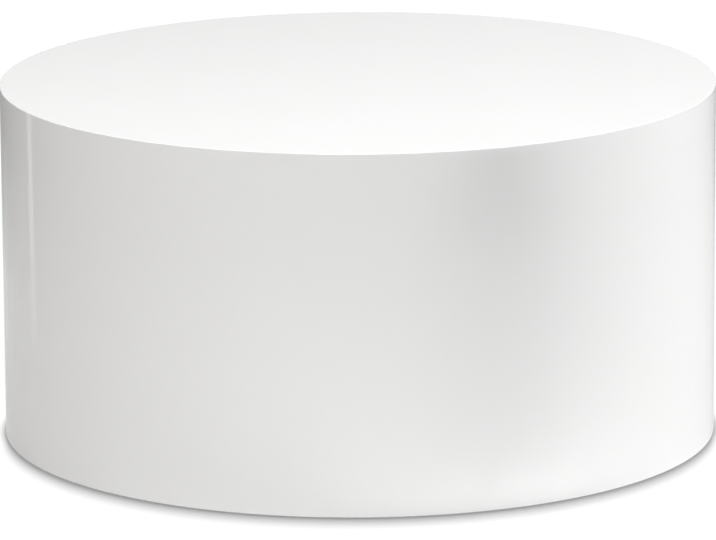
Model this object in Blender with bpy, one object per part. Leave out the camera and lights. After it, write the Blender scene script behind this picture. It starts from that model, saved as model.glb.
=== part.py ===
"""Round drum coffee table: a gloss lacquered drum over a hidden plywood frame, on four levelling feet.

Metres, +Z up. The origin is on the floor, under the middle of the drum, and -Y is the front.
Every height is worked out from the floor upwards and from the top downwards, so that the posts
take up what is left between the base ring and the top ring.
"""

import math

import bmesh
import bpy
from mathutils import Matrix

# Drum
DRUM_DIAMETER = 0.914
TABLE_HEIGHT = 0.457
FLOOR_GAP = 0.0025
WALL_THICKNESS = 0.012
WALL_FOOT_EASE = 0.0008

# Top panel, rebated so that its lip caps the wall and its spigot drops inside it
TOP_THICKNESS = 0.025
TOP_LIP = 0.008
TOP_EDGE_RADIUS = 0.001

# Loose tongues that join the two half shells of the wall
SPLINE_THICKNESS = 0.004
SPLINE_WIDTH = 0.016
SPLINE_STOP = 0.020

# Plywood rings inside the wall
RING_THICKNESS = 0.018
TOP_RING_WIDTH = 0.080
MID_RING_WIDTH = 0.060
BASE_RING_WIDTH = 0.110

# Posts that stand on the base ring, let into the middle ring, and carry the top ring
POST_COUNT = 8
POST_WIDTH = 0.045
POST_DEPTH = 0.028
POST_ARRIS = 0.003

# Two half lapped rails under the top panel
RAIL_HEIGHT = 0.060
RAIL_THICKNESS = 0.020
RAIL_BEARING = 0.012

# Countersunk screws
POST_SCREW_RADIUS = 0.0025
POST_SCREW_HEAD_RADIUS = 0.0050
POST_SCREW_BITE = 0.032
PANEL_SCREW_RADIUS = 0.0020
PANEL_SCREW_HEAD_RADIUS = 0.0042
PANEL_SCREW_COVER = 0.008
SCREW_TIP = 0.005

# Levelling feet: a swivel pad, a threaded stem and a pronged nut in the base ring
FOOT_COUNT = 4
FOOT_INSET = 0.045
PAD_RADIUS = 0.017
PAD_HEIGHT = 0.009
PAD_RIM_HEIGHT = 0.005
PAD_EASE = 0.0015
PAD_FLOOR = 0.003
PAD_ROOF = 0.002
PAD_COLLAR_WALL = 0.0035
STEM_RADIUS = 0.004
STEM_LENGTH = 0.038
STEM_HEAD_RADIUS = 0.0066
STEM_CHAMFER = 0.001
HEX_ACROSS_FLATS = 0.013
HEX_HEIGHT = 0.004
NUT_FLANGE_RADIUS = 0.011
NUT_FLANGE_THICKNESS = 0.0016
NUT_BARREL_WALL = 0.0012
NUT_BARREL_LENGTH = 0.014
PRONG_COUNT = 4
PRONG_LENGTH = 0.008
PRONG_WIDTH = 0.005
PRONG_TIP_WIDTH = 0.0015
PRONG_THICKNESS = 0.0012

# Clearances: a glue line between fixed pieces, and a running gap round what turns
GLUE_LINE = 0.0003
RUNNING_GAP = 0.0003
THREAD_GAP = 0.0005
CUT_MARGIN = 0.002

# Facets of the round pieces
DRUM_FACETS = 96
EDGE_FACETS = 4
FOOT_FACETS = 20
STEM_FACETS = 16
SCREW_FACETS = 8
POST_FACE_FACETS = 4

# Radii, from the wall inwards
OUTER_RADIUS = DRUM_DIAMETER / 2
WALL_INNER_RADIUS = OUTER_RADIUS - WALL_THICKNESS
RING_RADIUS = WALL_INNER_RADIUS - GLUE_LINE
POST_FACE_RADIUS = WALL_INNER_RADIUS * math.cos(math.pi / DRUM_FACETS) - GLUE_LINE
POST_MIDDLE_RADIUS = POST_FACE_RADIUS - POST_DEPTH / 2
POST_BACK_RADIUS = POST_FACE_RADIUS - POST_DEPTH
TOP_RING_HOLE_RADIUS = RING_RADIUS - TOP_RING_WIDTH
PANEL_SCREW_CIRCLE = (TOP_RING_HOLE_RADIUS + RING_RADIUS) / 2
RAIL_TONGUE_END = POST_BACK_RADIUS - RAIL_BEARING
FOOT_CIRCLE = RING_RADIUS - FOOT_INSET

# Heights, from the floor up to the base ring
HEX_BOTTOM = PAD_HEIGHT + RUNNING_GAP
HEX_TOP = HEX_BOTTOM + HEX_HEIGHT
NUT_FLANGE_BOTTOM = HEX_TOP + RUNNING_GAP
NUT_FLANGE_TOP = NUT_FLANGE_BOTTOM + NUT_FLANGE_THICKNESS
BASE_RING_BOTTOM = NUT_FLANGE_TOP + GLUE_LINE
BASE_RING_TOP = BASE_RING_BOTTOM + RING_THICKNESS

# Heights, from the top down to the top ring
LIP_BOTTOM = TABLE_HEIGHT - TOP_LIP
WALL_TOP = LIP_BOTTOM - GLUE_LINE
PANEL_BOTTOM = TABLE_HEIGHT - TOP_THICKNESS
TOP_RING_TOP = PANEL_BOTTOM - GLUE_LINE
TOP_RING_BOTTOM = TOP_RING_TOP - RING_THICKNESS

# Heights of what stands between the two rings
POST_BOTTOM = BASE_RING_TOP + GLUE_LINE
POST_TOP = TOP_RING_BOTTOM - GLUE_LINE
MID_RING_BOTTOM = (POST_BOTTOM + POST_TOP - RING_THICKNESS) / 2
RAIL_BOTTOM = TOP_RING_TOP - RAIL_HEIGHT
SPLINE_BOTTOM = FLOOR_GAP + SPLINE_STOP
SPLINE_TOP = WALL_TOP - SPLINE_STOP

# Screw lengths, from what each one passes through and bites into
POST_SCREW_LENGTH = RING_THICKNESS + GLUE_LINE + POST_SCREW_BITE
PANEL_SCREW_LENGTH = RING_THICKNESS + GLUE_LINE + TOP_THICKNESS - PANEL_SCREW_COVER

# Bearings round the drum, in radians
POST_STEP = 2 * math.pi / POST_COUNT
POST_BEARINGS = [POST_STEP * i for i in range(POST_COUNT)]
PANEL_SCREW_BEARINGS = [POST_STEP * (i + 0.5) for i in range(POST_COUNT)]
FOOT_BEARINGS = [2 * math.pi * (i + 0.5) / FOOT_COUNT for i in range(FOOT_COUNT)]
RAIL_BEARINGS = [math.pi / 2 * i for i in range(4)]

SHARP_ANGLE = math.radians(35)
HALF_TURN_ABOUT_X = Matrix.Rotation(math.pi, 4, "X")


# Materials


def material(name, colour, roughness, metallic=0.0):
    made = bpy.data.materials.new(name)
    made.use_nodes = True
    shader = made.node_tree.nodes["Principled BSDF"]
    shader.inputs["Base Color"].default_value = (*colour, 1.0)
    shader.inputs["Roughness"].default_value = roughness
    shader.inputs["Metallic"].default_value = metallic
    return made


def make_materials():
    return {
        "lacquer": material("white_gloss_lacquer", (0.88, 0.88, 0.87), 0.08),
        "plywood": material("birch_plywood", (0.66, 0.50, 0.32), 0.6),
        "softwood": material("pine", (0.72, 0.54, 0.33), 0.6),
        "zinc": material("zinc_plated_steel", (0.62, 0.64, 0.66), 0.35, 1.0),
        "nylon": material("black_nylon", (0.03, 0.03, 0.03), 0.45),
    }


# Shapes


def at_bearing(bearing, radius, height=0.0):
    """A move to a place on a circle round the drum's axis, turned so that local +X points outwards."""
    return Matrix.Rotation(bearing, 4, "Z") @ Matrix.Translation((radius, 0, height))


def arc(centre, radius, start, end, steps):
    """Points of an arc in the profile plane, both ends included."""
    angles = [start + (end - start) * i / steps for i in range(steps + 1)]
    return [(centre[0] + radius * math.cos(a), centre[1] + radius * math.sin(a)) for a in angles]


def turned(profile, facets, sweep=2 * math.pi, start=0.0):
    """A profile of (radius, height) points turned about Z. One that starts on the axis also ends on it, and
    any other closes on itself. A sweep under a whole turn gets flat ends."""
    shape = bmesh.new()
    points = [shape.verts.new((radius, 0, height)) for radius, height in profile]
    for a, b in zip(points, points[1:]):
        shape.edges.new((a, b))
    if profile[0][0] > 0:
        shape.edges.new((points[-1], points[0]))
    bmesh.ops.rotate(shape, verts=shape.verts, matrix=Matrix.Rotation(start, 3, "Z"))
    whole = math.isclose(sweep, 2 * math.pi)
    bmesh.ops.spin(
        shape,
        geom=shape.verts[:] + shape.edges[:],
        axis=(0, 0, 1),
        cent=(0, 0, 0),
        angle=sweep,
        steps=facets,
        use_merge=whole,
    )
    bmesh.ops.remove_doubles(shape, verts=shape.verts, dist=1e-6)
    if not whole:
        bmesh.ops.holes_fill(shape, edges=[e for e in shape.edges if e.is_boundary])
    bmesh.ops.recalc_face_normals(shape, faces=shape.faces)
    return shape


def extruded(outline, height):
    """A flat outline of (x, y) points raised from z = 0 to the height."""
    shape = bmesh.new()
    floor = shape.faces.new([shape.verts.new((x, y, 0)) for x, y in outline])
    raised = bmesh.ops.extrude_face_region(shape, geom=[floor], use_keep_orig=True)["geom"]
    corners = [v for v in raised if isinstance(v, bmesh.types.BMVert)]
    bmesh.ops.translate(shape, verts=corners, vec=(0, 0, height))
    bmesh.ops.recalc_face_normals(shape, faces=shape.faces)
    return shape


def block(width, depth, height):
    """A box centred on X and Y that stands on z = 0."""
    x, y = width / 2, depth / 2
    return extruded([(-x, -y), (x, -y), (x, y), (-x, y)], height)


def moved(shape, matrix):
    bmesh.ops.transform(shape, matrix=matrix, verts=shape.verts)
    return shape


def mesh_of(shapes, name):
    """One mesh from one or more shapes, which are used up."""
    whole = bpy.data.meshes.new(name)
    gathered = bmesh.new()
    for shape in shapes:
        shape.to_mesh(whole)
        shape.free()
        gathered.from_mesh(whole)
    gathered.to_mesh(whole)
    gathered.free()
    return whole


def combined(mesh, tools, operation):
    """The mesh with the tools' mesh cut out of it or joined to it."""
    body = bpy.data.objects.new("body", mesh)
    tool = bpy.data.objects.new("tool", tools)
    for helper in (body, tool):
        bpy.context.scene.collection.objects.link(helper)
    step = body.modifiers.new(operation, "BOOLEAN")
    step.operation = operation
    step.object = tool
    graph = bpy.context.evaluated_depsgraph_get()
    result = bpy.data.meshes.new_from_object(body.evaluated_get(graph))
    for helper in (body, tool):
        bpy.data.objects.remove(helper)
    return result


def carved(mesh, shapes):
    return combined(mesh, mesh_of(shapes, "cutters"), "DIFFERENCE")


def joined(mesh, shapes):
    return combined(mesh, mesh_of(shapes, "additions"), "UNION")


# Placing


def empty(name, location=(0, 0, 0), parent=None):
    made = bpy.data.objects.new(name, None)
    made.location = location
    made.parent = parent
    bpy.context.scene.collection.objects.link(made)
    return made


def place(name, mesh, finish, parent, matrix=Matrix.Identity(4)):
    """A named piece: its mesh, its finish, and where it sits under its parent."""
    if mesh.users == 0:
        mesh.name = name
        mesh.materials.clear()
        mesh.materials.append(finish)
        mesh.shade_smooth()
        mesh.set_sharp_from_angle(angle=SHARP_ANGLE)
    piece = bpy.data.objects.new(name, mesh)
    piece.parent = parent
    piece.matrix_local = matrix
    bpy.context.scene.collection.objects.link(piece)
    return piece


# Screws: local z = 0 is the face of the head, and the point is below it


def screw_profile(radius, head_radius, length):
    cone = head_radius - radius
    return [(0, 0), (head_radius, 0), (radius, -cone), (radius, SCREW_TIP - length), (0, -length)]


def screw_hole(radius, head_radius, length):
    """A countersunk hole that clears a screw by the glue line and breaks out above its head."""
    wide, narrow = head_radius + GLUE_LINE, radius + GLUE_LINE
    cone = head_radius - radius
    deep = -length - GLUE_LINE
    profile = [(0, CUT_MARGIN), (wide, CUT_MARGIN), (wide, 0), (narrow, -cone), (narrow, deep), (0, deep)]
    return turned(profile, SCREW_FACETS)


def post_screw_mesh():
    profile = screw_profile(POST_SCREW_RADIUS, POST_SCREW_HEAD_RADIUS, POST_SCREW_LENGTH)
    return mesh_of([turned(profile, SCREW_FACETS)], "post_screw")


def panel_screw_mesh():
    profile = screw_profile(PANEL_SCREW_RADIUS, PANEL_SCREW_HEAD_RADIUS, PANEL_SCREW_LENGTH)
    return mesh_of([turned(profile, SCREW_FACETS)], "panel_screw")


def post_screw_hole():
    return screw_hole(POST_SCREW_RADIUS, POST_SCREW_HEAD_RADIUS, POST_SCREW_LENGTH)


def panel_screw_hole():
    return screw_hole(PANEL_SCREW_RADIUS, PANEL_SCREW_HEAD_RADIUS, PANEL_SCREW_LENGTH)


def base_screw_places():
    return [
        at_bearing(b, POST_MIDDLE_RADIUS, BASE_RING_BOTTOM) @ HALF_TURN_ABOUT_X for b in POST_BEARINGS
    ]


def ring_screw_places():
    return [at_bearing(b, POST_MIDDLE_RADIUS, TOP_RING_TOP) for b in POST_BEARINGS]


def panel_screw_places():
    return [
        at_bearing(b, PANEL_SCREW_CIRCLE, TOP_RING_BOTTOM) @ HALF_TURN_ABOUT_X
        for b in PANEL_SCREW_BEARINGS
    ]


# Drum: top panel, half shells and their splines


def top_panel_mesh():
    rim = OUTER_RADIUS - TOP_EDGE_RADIUS
    shoulder = TABLE_HEIGHT - TOP_EDGE_RADIUS
    profile = [
        (0, TABLE_HEIGHT),
        *arc((rim, shoulder), TOP_EDGE_RADIUS, math.pi / 2, 0, EDGE_FACETS),
        (OUTER_RADIUS, LIP_BOTTOM),
        (RING_RADIUS, LIP_BOTTOM),
        (RING_RADIUS, PANEL_BOTTOM),
        (0, PANEL_BOTTOM),
    ]
    panel = mesh_of([turned(profile, DRUM_FACETS)], "top_panel")
    return carved(panel, [moved(panel_screw_hole(), m) for m in panel_screw_places()])


def spline_places():
    """The wall's two upright joints, at the left and the right of the drum."""
    middle = (OUTER_RADIUS + WALL_INNER_RADIUS) / 2
    return {
        "right": at_bearing(0, middle, SPLINE_BOTTOM),
        "left": at_bearing(math.pi, middle, SPLINE_BOTTOM),
    }


def spline_block(clearance=0.0):
    """A spline, or the groove for it where a clearance is added all round."""
    shape = block(
        SPLINE_THICKNESS + 2 * clearance,
        SPLINE_WIDTH + 2 * clearance,
        SPLINE_TOP - SPLINE_BOTTOM + 2 * clearance,
    )
    return moved(shape, Matrix.Translation((0, 0, -clearance)))


def wall_shell_mesh(start):
    """Half of the drum's wall, bent round from one upright joint to the other."""
    ease = WALL_FOOT_EASE
    profile = [
        (OUTER_RADIUS, WALL_TOP),
        *arc((OUTER_RADIUS - ease, FLOOR_GAP + ease), ease, 0, -math.pi / 2, EDGE_FACETS),
        (WALL_INNER_RADIUS + ease, FLOOR_GAP),
        (WALL_INNER_RADIUS, FLOOR_GAP + ease),
        (WALL_INNER_RADIUS, WALL_TOP),
    ]
    joint = GLUE_LINE / 2 / WALL_INNER_RADIUS
    shell = turned(profile, DRUM_FACETS // 2, math.pi - 2 * joint, start + joint)
    grooves = [moved(spline_block(GLUE_LINE), m) for m in spline_places().values()]
    return carved(mesh_of([shell], "wall_shell"), grooves)


# Frame: rings, posts and rails


def ring_shape(width, bottom):
    inner, top = RING_RADIUS - width, bottom + RING_THICKNESS
    return turned([(RING_RADIUS, top), (RING_RADIUS, bottom), (inner, bottom), (inner, top)], DRUM_FACETS)


def top_ring_mesh():
    slot_length = RAIL_TONGUE_END + GLUE_LINE - TOP_RING_HOLE_RADIUS + CUT_MARGIN
    slot_middle = RAIL_TONGUE_END + GLUE_LINE - slot_length / 2
    slot_width = RAIL_THICKNESS + 2 * GLUE_LINE
    slot_height = RING_THICKNESS + 2 * CUT_MARGIN
    slots = [
        moved(
            block(slot_length, slot_width, slot_height),
            at_bearing(b, slot_middle, TOP_RING_BOTTOM - CUT_MARGIN),
        )
        for b in RAIL_BEARINGS
    ]
    holes = [moved(post_screw_hole(), m) for m in ring_screw_places()]
    holes += [moved(panel_screw_hole(), m) for m in panel_screw_places()]
    ring = mesh_of([ring_shape(TOP_RING_WIDTH, TOP_RING_BOTTOM)], "top_ring")
    return carved(ring, slots + holes)


def mid_ring_mesh():
    """The middle ring, notched round its outside for the posts."""
    notch_depth = RING_RADIUS - POST_BACK_RADIUS + GLUE_LINE + CUT_MARGIN
    notch_middle = POST_BACK_RADIUS - GLUE_LINE + notch_depth / 2
    notch_width = POST_WIDTH + 2 * GLUE_LINE
    notch_height = RING_THICKNESS + 2 * CUT_MARGIN
    notches = [
        moved(
            block(notch_depth, notch_width, notch_height),
            at_bearing(b, notch_middle, MID_RING_BOTTOM - CUT_MARGIN),
        )
        for b in POST_BEARINGS
    ]
    ring = mesh_of([ring_shape(MID_RING_WIDTH, MID_RING_BOTTOM)], "mid_ring")
    return carved(ring, notches)


def base_ring_mesh():
    """The base ring, bored for the posts' screws and for the nuts of the feet."""
    holes = [moved(post_screw_hole(), m) for m in base_screw_places()]
    bore_radius = STEM_RADIUS + THREAD_GAP + NUT_BARREL_WALL + GLUE_LINE
    bore_length = RING_THICKNESS + 2 * CUT_MARGIN
    for bearing in FOOT_BEARINGS:
        bore = turned(
            [(0, bore_length), (bore_radius, bore_length), (bore_radius, 0), (0, 0)], STEM_FACETS
        )
        holes.append(moved(bore, at_bearing(bearing, FOOT_CIRCLE, BASE_RING_BOTTOM - CUT_MARGIN)))
        seat = at_bearing(bearing, FOOT_CIRCLE, NUT_FLANGE_TOP)
        holes += [moved(prong(GLUE_LINE), seat @ m) for m in prong_places()]
    ring = mesh_of([ring_shape(BASE_RING_WIDTH, BASE_RING_BOTTOM)], "base_ring")
    return carved(ring, holes)


def post_mesh():
    """A post with its outer face rounded to the wall and its inner corners eased. Local +X faces the wall."""
    half_angle = math.asin(POST_WIDTH / 2 / POST_FACE_RADIUS)
    half, back = POST_WIDTH / 2, -POST_DEPTH / 2
    outline = [
        (back + POST_ARRIS, -half),
        *arc((-POST_MIDDLE_RADIUS, 0), POST_FACE_RADIUS, -half_angle, half_angle, POST_FACE_FACETS),
        (back + POST_ARRIS, half),
        (back, half - POST_ARRIS),
        (back, -half + POST_ARRIS),
    ]
    height = POST_TOP - POST_BOTTOM
    post = mesh_of([extruded(outline, height)], "post")
    from_below = Matrix.Translation((0, 0, BASE_RING_BOTTOM - POST_BOTTOM)) @ HALF_TURN_ABOUT_X
    from_above = Matrix.Translation((0, 0, TOP_RING_TOP - POST_BOTTOM))
    return carved(post, [moved(post_screw_hole(), from_below), moved(post_screw_hole(), from_above)])


def rail_mesh(slot_from_top):
    """A rail on edge along X. Its tongues sit in the top ring's slots, its shoulders bear under the ring,
    and half of its height is slotted away in the middle, where the other rail crosses it."""
    end = POST_BACK_RADIUS - GLUE_LINE
    shoulder = RAIL_HEIGHT - RING_THICKNESS - GLUE_LINE
    slot = RAIL_THICKNESS / 2 + GLUE_LINE
    lap = RAIL_HEIGHT / 2
    top_edge = [(RAIL_TONGUE_END, RAIL_HEIGHT), (-RAIL_TONGUE_END, RAIL_HEIGHT)]
    bottom_edge = [(-end, 0), (end, 0)]
    if slot_from_top:
        floor = lap - GLUE_LINE / 2
        top_edge[1:1] = [(slot, RAIL_HEIGHT), (slot, floor), (-slot, floor), (-slot, RAIL_HEIGHT)]
    else:
        roof = lap + GLUE_LINE / 2
        bottom_edge[1:1] = [(-slot, 0), (-slot, roof), (slot, roof), (slot, 0)]
    outline = [
        *bottom_edge,
        (end, shoulder),
        (RAIL_TONGUE_END, shoulder),
        *top_edge,
        (-RAIL_TONGUE_END, shoulder),
        (-end, shoulder),
    ]
    upright = Matrix.Translation((0, RAIL_THICKNESS / 2, 0)) @ Matrix.Rotation(math.pi / 2, 4, "X")
    return mesh_of([moved(extruded(outline, RAIL_THICKNESS), upright)], "rail")


# Levelling feet: local z = 0 is the floor under a foot's axis


def pad_mesh():
    """A swivel pad: a low cone round a socket that holds the stem's head."""
    cavity = STEM_HEAD_RADIUS + RUNNING_GAP
    mouth = STEM_RADIUS + THREAD_GAP
    profile = [
        (0, PAD_FLOOR),
        (cavity, PAD_FLOOR),
        (cavity, PAD_HEIGHT - PAD_ROOF),
        (mouth, PAD_HEIGHT - PAD_ROOF),
        (mouth, PAD_HEIGHT),
        (mouth + PAD_COLLAR_WALL, PAD_HEIGHT),
        (PAD_RADIUS, PAD_RIM_HEIGHT),
        *arc((PAD_RADIUS - PAD_EASE, PAD_EASE), PAD_EASE, 0, -math.pi / 2, EDGE_FACETS // 2),
        (0, 0),
    ]
    return mesh_of([turned(profile, FOOT_FACETS)], "foot_pad")


def stem_mesh():
    """A threaded stem: a round head held in the pad, a neck, a hexagon for a spanner and a shank."""
    head_bottom = PAD_FLOOR + RUNNING_GAP
    head_top = PAD_HEIGHT - PAD_ROOF - RUNNING_GAP
    stem_top = HEX_TOP + STEM_LENGTH
    profile = [
        (0, head_bottom),
        (STEM_HEAD_RADIUS, head_bottom),
        (STEM_HEAD_RADIUS, head_top),
        (STEM_RADIUS, head_top),
        (STEM_RADIUS, stem_top - STEM_CHAMFER),
        (STEM_RADIUS - STEM_CHAMFER, stem_top),
        (0, stem_top),
    ]
    corner = HEX_ACROSS_FLATS / math.sqrt(3)
    hexagon = [(corner * math.cos(a), corner * math.sin(a)) for a in (math.pi / 3 * i for i in range(6))]
    collar = moved(extruded(hexagon, HEX_HEIGHT), Matrix.Translation((0, 0, HEX_BOTTOM)))
    stem = mesh_of([turned(profile, STEM_FACETS)], "levelling_stem")
    return joined(stem, [collar])


def prong_places():
    """The prongs of a nut, from its own axis at the top of the flange."""
    step = 2 * math.pi / PRONG_COUNT
    radius = NUT_FLANGE_RADIUS - PRONG_THICKNESS
    return [at_bearing(step * i, radius) for i in range(PRONG_COUNT)]


def prong(clearance=0.0):
    """A tapered prong that rises from inside the flange, or the pocket for it where a clearance is added."""
    root, tip = PRONG_WIDTH / 2 + clearance, PRONG_TIP_WIDTH / 2 + clearance
    thickness = PRONG_THICKNESS + 2 * clearance
    bottom, top = -NUT_FLANGE_THICKNESS / 2, PRONG_LENGTH + clearance
    shape = extruded([(-root, bottom), (root, bottom), (tip, top), (-tip, top)], thickness)
    facing = Matrix(((0, 0, 1), (1, 0, 0), (0, 1, 0))).to_4x4()
    return moved(shape, Matrix.Translation((-thickness / 2, 0, 0)) @ facing)


def tee_nut_mesh():
    """A pronged nut: its flange lies under the base ring and its barrel stands up inside it."""
    bore = STEM_RADIUS + THREAD_GAP
    barrel = bore + NUT_BARREL_WALL
    profile = [
        (bore, NUT_BARREL_LENGTH),
        (bore, -NUT_FLANGE_THICKNESS),
        (NUT_FLANGE_RADIUS, -NUT_FLANGE_THICKNESS),
        (NUT_FLANGE_RADIUS, 0),
        (barrel, 0),
        (barrel, NUT_BARREL_LENGTH),
    ]
    nut = mesh_of([turned(profile, STEM_FACETS)], "tee_nut")
    return joined(nut, [moved(prong(), m) for m in prong_places()])


# Assembly


def build_drum(carcass, finish):
    place("top_panel", top_panel_mesh(), finish["lacquer"], carcass)
    place("wall_shell_back", wall_shell_mesh(0), finish["lacquer"], carcass)
    place("wall_shell_front", wall_shell_mesh(math.pi), finish["lacquer"], carcass)
    spline = mesh_of([spline_block()], "wall_spline")
    for side, matrix in spline_places().items():
        place(f"wall_spline_{side}", spline, finish["plywood"], carcass, matrix)


def build_frame(carcass, finish):
    place("top_ring", top_ring_mesh(), finish["plywood"], carcass)
    place("mid_ring", mid_ring_mesh(), finish["plywood"], carcass)
    place("base_ring", base_ring_mesh(), finish["plywood"], carcass)
    post = post_mesh()
    for number, bearing in enumerate(POST_BEARINGS, 1):
        seat = at_bearing(bearing, POST_MIDDLE_RADIUS, POST_BOTTOM)
        place(f"post_{number}", post, finish["softwood"], carcass, seat)
    across = Matrix.Translation((0, 0, RAIL_BOTTOM))
    along = across @ Matrix.Rotation(math.pi / 2, 4, "Z")
    place("rail_across", rail_mesh(slot_from_top=True), finish["softwood"], carcass, across)
    place("rail_along", rail_mesh(slot_from_top=False), finish["softwood"], carcass, along)


def build_screws(carcass, finish):
    post_screw, panel_screw = post_screw_mesh(), panel_screw_mesh()
    sets = {
        "base_screw": (post_screw, base_screw_places()),
        "ring_screw": (post_screw, ring_screw_places()),
        "panel_screw": (panel_screw, panel_screw_places()),
    }
    for kind, (mesh, places) in sets.items():
        for number, matrix in enumerate(places, 1):
            place(f"{kind}_{number}", mesh, finish["zinc"], carcass, matrix)


def build_feet(carcass, finish):
    nut, stem, pad = tee_nut_mesh(), stem_mesh(), pad_mesh()
    for number, bearing in enumerate(FOOT_BEARINGS, 1):
        seat = at_bearing(bearing, FOOT_CIRCLE, NUT_FLANGE_TOP)
        place(f"tee_nut_{number}", nut, finish["zinc"], carcass, seat)
        axis = empty(f"foot_{number}_axis", at_bearing(bearing, FOOT_CIRCLE).to_translation(), carcass)
        place(f"foot_pad_{number}", pad, finish["nylon"], axis)
        place(f"levelling_stem_{number}", stem, finish["zinc"], axis)


def main():
    for leftover in list(bpy.data.objects):
        bpy.data.objects.remove(leftover)
    finish = make_materials()
    carcass = empty("carcass")
    build_drum(carcass, finish)
    build_frame(carcass, finish)
    build_screws(carcass, finish)
    build_feet(carcass, finish)


main()
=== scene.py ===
"""Looks of the round drum coffee table: gloss white lacquer over a hidden timber frame, in a white studio."""

import math

import bmesh
import bpy
from mathutils import Matrix, Vector
from mathutils.geometry import delaunay_2d_cdt


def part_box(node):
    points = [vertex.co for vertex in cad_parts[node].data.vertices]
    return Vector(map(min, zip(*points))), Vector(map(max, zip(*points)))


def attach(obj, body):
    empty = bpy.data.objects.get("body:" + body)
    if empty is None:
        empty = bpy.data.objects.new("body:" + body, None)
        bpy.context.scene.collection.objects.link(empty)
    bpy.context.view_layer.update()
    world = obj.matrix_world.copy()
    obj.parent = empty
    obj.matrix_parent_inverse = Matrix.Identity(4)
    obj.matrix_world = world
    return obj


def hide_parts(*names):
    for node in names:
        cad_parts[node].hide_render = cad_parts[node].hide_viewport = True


bl_info = {
    "name": "Drum Coffee Table",
    "version": (1, 0, 0),
    "blender": (4, 5, 0),
    "location": "View3D > Sidebar > Drum Table",
    "description": "Dresses the packed drum coffee table and sets up its studio",
    "category": "Add Mesh",
}

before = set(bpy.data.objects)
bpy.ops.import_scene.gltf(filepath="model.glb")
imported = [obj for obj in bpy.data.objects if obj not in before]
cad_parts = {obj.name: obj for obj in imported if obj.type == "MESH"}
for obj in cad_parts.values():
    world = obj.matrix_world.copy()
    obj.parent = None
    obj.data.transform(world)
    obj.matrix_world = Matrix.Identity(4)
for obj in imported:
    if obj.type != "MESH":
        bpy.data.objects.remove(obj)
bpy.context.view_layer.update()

# Bodies and nodes
CARCASS = "carcass"
POSTS = [f"post_{i}" for i in range(1, 9)]
RINGS = ["top_ring", "mid_ring", "base_ring"]
SPLINES = ["wall_spline_left", "wall_spline_right"]
FEET = range(1, 5)

# The drum's measures: all but the wall's thickness are read from the frame
PANEL_LOW, PANEL_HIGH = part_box("top_panel")
WALL_LOW, WALL_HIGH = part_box("wall_shell_front")
DRUM_RADIUS = PANEL_HIGH.x
TABLE_HEIGHT = PANEL_HIGH.z
PANEL_BOTTOM = PANEL_LOW.z
WALL_BOTTOM = WALL_LOW.z
WALL_TOP = WALL_HIGH.z
WALL_THICKNESS = 0.012
BORE_RADIUS = DRUM_RADIUS - WALL_THICKNESS

# Rings on the flat top as shares of its radius, rows down the wall, and steps round the two eased edges
TOP_RINGS = (0.2, 0.45, 0.7, 0.9)
WALL_ROWS = 6
EDGE_STEPS = 8
FOOT_STEPS = 6

# Screws: each kind's shank, head and thread, and whether its head is at the bottom
POST_SCREW = dict(shank=0.0023, head=0.0048, pitch=0.0022, thread=0.6)
PANEL_SCREW = dict(shank=0.0018, head=0.0040, pitch=0.0018, thread=0.7)
SCREWS = {
    "base_screw": (POST_SCREW, True),
    "ring_screw": (POST_SCREW, False),
    "panel_screw": (PANEL_SCREW, True),
}
# The same for every screw: number of a kind, point, rim, the thread's root and crest as shares, the turn from
# one screw to the next, and steps
SCREW_COUNT = 8
SCREW_TIP = 0.005
SCREW_RIM = 0.0004
SCREW_ROOT_SHARE = 0.7
SCREW_CREST_SHARE = 0.3
SCREW_TURN = math.radians(37)
SCREW_STEPS = 24
THREAD_ROWS = 6
# Cross recess, in shares of the head's radius: half width and reach at its mouth and at its floor, and depth
RECESS_MOUTH = (0.13, 0.58)
RECESS_FLOOR = (0.09, 0.32)
RECESS_DEPTH = 0.5

# Levelling feet: heights are above the floor
PAD_SOCKET_RADIUS = 0.0069
PAD_SOCKET_FLOOR = 0.003
PAD_SOCKET_ROOF = 0.007
PAD_MOUTH_RADIUS = 0.0045
PAD_COLLAR_RADIUS = 0.008
PAD_RIM_HEIGHT = 0.005
PAD_EASE = 0.0015
PAD_FINE_EASE = 0.0003
PAD_FLUTE_DEPTH = 0.00035
PAD_DISH = 0.0005
PAD_SLOPE_ROWS = 9
PAD_BEND_STEPS = 3
PAD_FOOT_STEPS = 4
SOLE_GROOVE = (0.7, 0.68, 0.6, 0.58)
SOLE_GROOVE_DEPTH = 0.0004
PAD_STEPS = 144
STEM_RADIUS = 0.004
STEM_ROOT_RADIUS = 0.00335
STEM_HEAD_RADIUS = 0.0066
STEM_HEAD_TOP = 0.0067
STEM_CHAMFER = 0.001
STEM_EASE = 0.0003
STEM_FLANK_SLOPE = 1.25
STEM_ROOT_FLAT = 0.12
HEX_BOTTOM = 0.0093
HEX_TOP = 0.0133
HEX_ACROSS_FLATS = 0.013
HEX_CHAMFER = 0.0007
HEX_CHAMFER_ROWS = 3
HEX_CHAMFER_SLOPE = 1.9
HEX_FACE_SHARE = 1.01
STEM_STEPS = 48

# The angle from which an edge is sharp, the flat margin beside a bend, and two tolerances
SMOOTH_ANGLE = math.radians(35)
FLAT_MARGIN = 0.0004
HAIR = 1e-5
WELD = 1e-7

# Lacquer: warmth of its haze, size and depth of its orange peel, and depth of its long waves
LACQUER_WARMTH = (1.0, 0.999, 0.996)
PEEL = dict(Size=0.004, Depth=0.000004)
WAVE_DEPTH = 0.00008

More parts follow.
